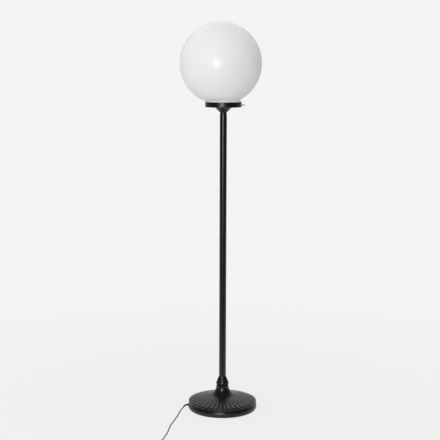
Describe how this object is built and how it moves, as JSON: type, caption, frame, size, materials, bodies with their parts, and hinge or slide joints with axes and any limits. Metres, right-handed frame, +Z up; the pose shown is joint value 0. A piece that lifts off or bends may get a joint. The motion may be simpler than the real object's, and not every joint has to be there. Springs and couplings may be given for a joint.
{
  "type": "floor lamp",
  "caption": "Globe floor lamp: an opal glass sphere held in a shallow metal gallery on a slim straight tube, over a reeded, flared round foot, with a flex, foot switch and plug.",
  "frame": {"origin": "on the floor under the tube, at the middle of the foot's felt pad", "axes": "+Z up along the tube, +X to the right of a viewer who faces the lamp as pictured, -Y towards that viewer; the flex leaves the foot on its -X side"},
  "size_m": [0.4617, 0.8134, 1.6935],
  "materials": {
    "black_metal": "satin black paint",
    "zinc_steel": "zinc plated",
    "iron_ballast": "raw casting",
    "opal_glass": "glossy white opal",
    "bulb_glass": "frosted",
    "brass": "plain",
    "cap_metal": "plain",
    "white_ceramic": "unglazed",
    "black_plastic": "moulded, satin",
    "black_flex": "soft sheath, matte",
    "black_felt": "felt"
  },
  "bodies": {
    "stand": {"felt_pad": "black_felt", "base_plate": "zinc_steel", "base_plate_screws": "zinc_steel", "base_weight": "iron_ballast", "base_casting": "black_metal", "clamp_washer": "zinc_steel", "clamp_nut": "zinc_steel", "tie_rod": "zinc_steel", "collar": "black_metal", "pole": "black_metal", "lower_bush": "zinc_steel", "upper_bush": "zinc_steel", "stepped_cup": "black_metal", "gallery": "black_metal", "gallery_washer": "zinc_steel", "gallery_nut": "zinc_steel", "upper_nipple": "zinc_steel", "lampholder_cap": "black_plastic", "lampholder_skirt": "black_plastic", "lampholder_insert": "white_ceramic", "lampholder_thread": "brass", "lampholder_contact": "brass", "cord_gland": "black_plastic", "inner_flex": "black_flex", "cord_lead": "black_flex", "cord_run": "black_flex", "cord_coil": "black_flex", "cord_tail": "black_flex", "switch_base": "black_plastic", "switch_cover": "black_plastic", "switch_mechanism": "black_plastic", "switch_screws": "zinc_steel", "plug_body": "black_plastic", "pin_sleeves": "black_plastic", "plug_pins": "brass"},
    "glass_globe": {"globe": "opal_glass"},
    "bulb": {"bulb_contact": "brass", "bulb_cap": "cap_metal", "bulb_glass": "bulb_glass"},
    "screw_1": {"thumb_screw_1": "black_metal"},
    "screw_2": {"thumb_screw_2": "black_metal"},
    "screw_3": {"thumb_screw_3": "black_metal"},
    "foot_button": {"switch_button": "black_plastic"}
  },
  "joints": [
    {"name": "globe_lift", "type": "slide", "parent": "stand", "child": "glass_globe", "axis": [0, 0, 1], "range_m": [0, 0.16]},
    {"name": "bulb_lift", "type": "slide", "parent": "stand", "child": "bulb", "axis": [0, 0, 1], "range_m": [0, 0.03]},
    {"name": "screw_1_out", "type": "slide", "parent": "stand", "child": "screw_1", "axis": [1, 0, 0], "range_m": [0, 0.002]},
    {"name": "screw_2_out", "type": "slide", "parent": "stand", "child": "screw_2", "axis": [-0.5, 0.866, 0], "range_m": [0, 0.002]},
    {"name": "screw_3_out", "type": "slide", "parent": "stand", "child": "screw_3", "axis": [-0.5, -0.866, 0], "range_m": [0, 0.002]},
    {"name": "button_press", "type": "slide", "parent": "stand", "child": "foot_button", "axis": [0, 0, -1], "range_m": [0, 0.003], "stiffness_N_per_m": 500, "springref_m": -0.002}
  ]
}
